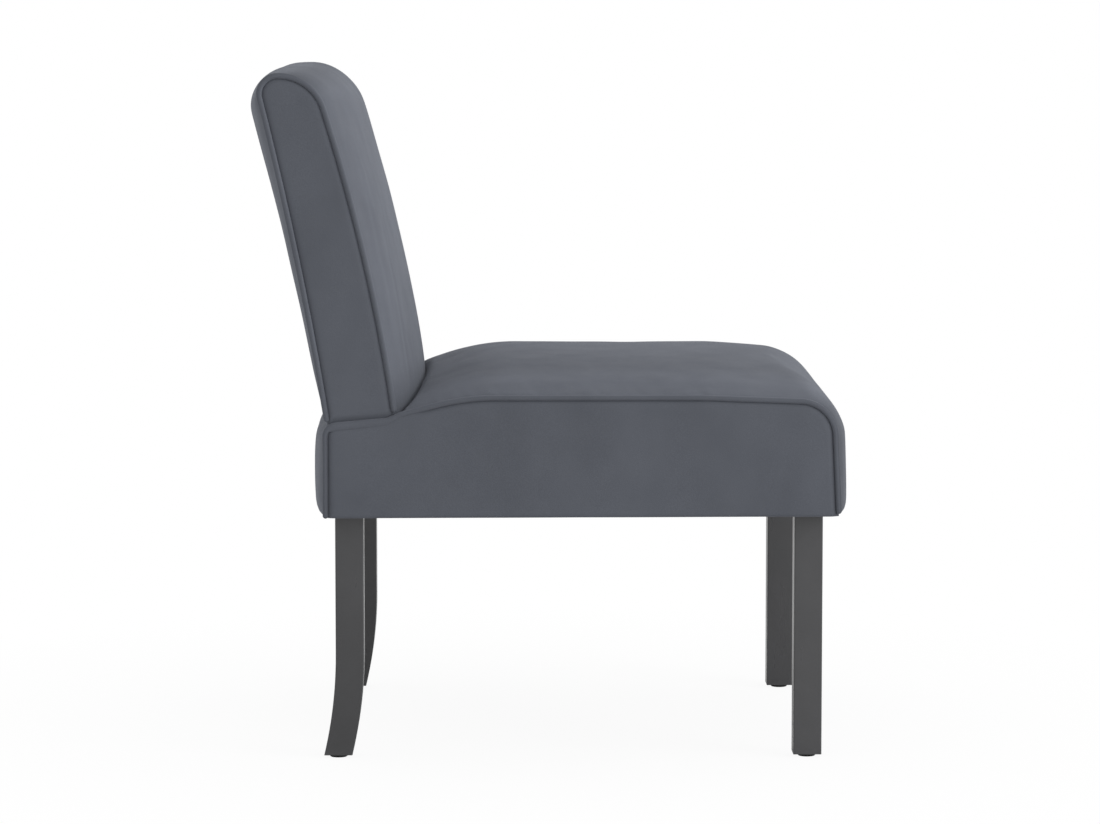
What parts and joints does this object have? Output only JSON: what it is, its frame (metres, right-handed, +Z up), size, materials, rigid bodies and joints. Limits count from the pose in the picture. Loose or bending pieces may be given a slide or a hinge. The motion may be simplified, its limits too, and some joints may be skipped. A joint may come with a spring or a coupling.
{
  "type": "slipper chair",
  "caption": "Armless upholstered slipper chair with a crowned seat and leaning back, piped velvet covers over a wooden frame, and square legs whose rear pair sweep back.",
  "frame": {"origin": "on the floor under the middle of the chair's length and width", "axes": "+Z up, -Y the way the chair faces, +X to the right when seen from the front"},
  "size_m": [0.54, 0.6393, 0.7325],
  "materials": {
    "velvet": "matte",
    "leg_paint": "gloss",
    "frame_wood": "matte",
    "foam": "matte",
    "wadding": "matte",
    "steel": "satin",
    "felt": "matte",
    "fibreboard": "matte",
    "webbing": "matte",
    "dust_cloth": "matte",
    "glide_plastic": "satin"
  },
  "bodies": {
    "root": {"seat_cover": "velvet", "back_cover": "velvet", "seat_left_panel": "velvet", "seat_left_piping": "velvet", "seat_right_panel": "velvet", "seat_right_piping": "velvet", "back_left_panel": "velvet", "back_left_piping": "velvet", "back_right_panel": "velvet", "back_right_piping": "velvet", "seat_front_rail": "frame_wood", "seat_rear_rail": "frame_wood", "seat_left_rail": "frame_wood", "seat_right_rail": "frame_wood", "back_post_left": "frame_wood", "back_post_right": "frame_wood", "back_top_rail": "frame_wood", "back_bottom_rail": "frame_wood", "frame_dowels": "frame_wood", "back_dowels": "frame_wood", "corner_block_front_left": "frame_wood", "leg_front_left": "leg_paint", "corner_block_front_right": "frame_wood", "leg_front_right": "leg_paint", "corner_block_rear_left": "frame_wood", "leg_rear_left": "leg_paint", "corner_block_rear_right": "frame_wood", "leg_rear_right": "leg_paint", "seat_foam": "foam", "back_foam": "foam", "seat_front_pad": "foam", "seat_rear_pad": "foam", "seat_left_pad": "foam", "seat_right_pad": "foam", "back_rear_pad": "foam", "back_left_pad": "foam", "back_right_pad": "foam", "seat_wadding": "wadding", "back_wadding": "wadding", "frame_bolts": "steel", "frame_bolt_nuts": "steel", "seat_springs": "steel", "spring_clips": "steel", "clip_nails": "steel", "leg_bolts": "steel", "leg_inserts": "steel", "glide_nails": "steel", "spring_pad": "felt", "back_board": "fibreboard", "back_webbing": "webbing", "dust_cover": "dust_cloth", "back_bottom_cloth": "dust_cloth", "leg_glides": "glide_plastic"}
  },
  "joints": []
}
